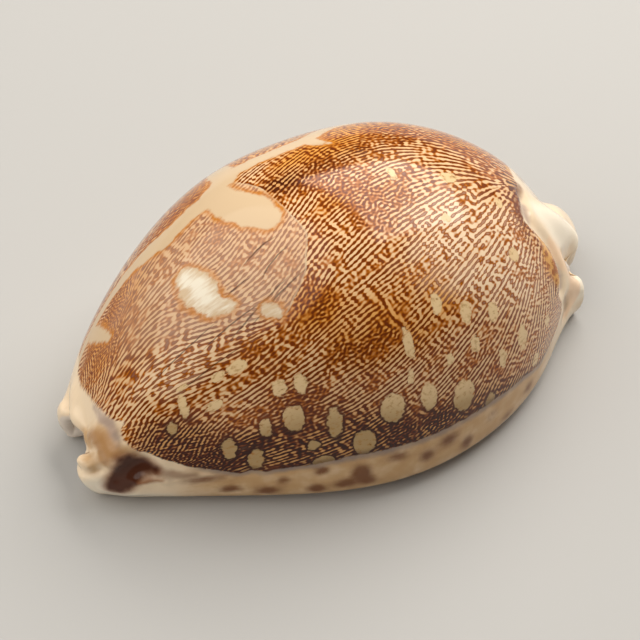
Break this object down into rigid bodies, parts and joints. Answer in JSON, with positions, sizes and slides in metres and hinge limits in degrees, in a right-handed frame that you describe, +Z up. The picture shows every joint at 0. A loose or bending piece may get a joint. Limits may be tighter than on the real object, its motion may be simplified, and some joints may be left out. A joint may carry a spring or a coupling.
{
  "type": "map cowrie shell",
  "caption": "Glossy egg-shaped cowrie seashell standing on its base, hollow inside, with a long toothed slit aperture below and a spout-like canal at each end.",
  "frame": {"origin": "centre of the shell's box at its bottom, on the ground that it rests on", "axes": "+X to the posterior end along the length, +Y to the outer lip side, +Z up to the top of the back"},
  "size_m": [0.08, 0.0474, 0.0364],
  "materials": {
    "patterned_shell": "high-gloss natural porcelain-like enamel: cream ground under fine dark brown labyrinth lines, cream and tan at the margins and ends"
  },
  "bodies": {
    "root": {"shell": "patterned_shell"}
  },
  "joints": []
}
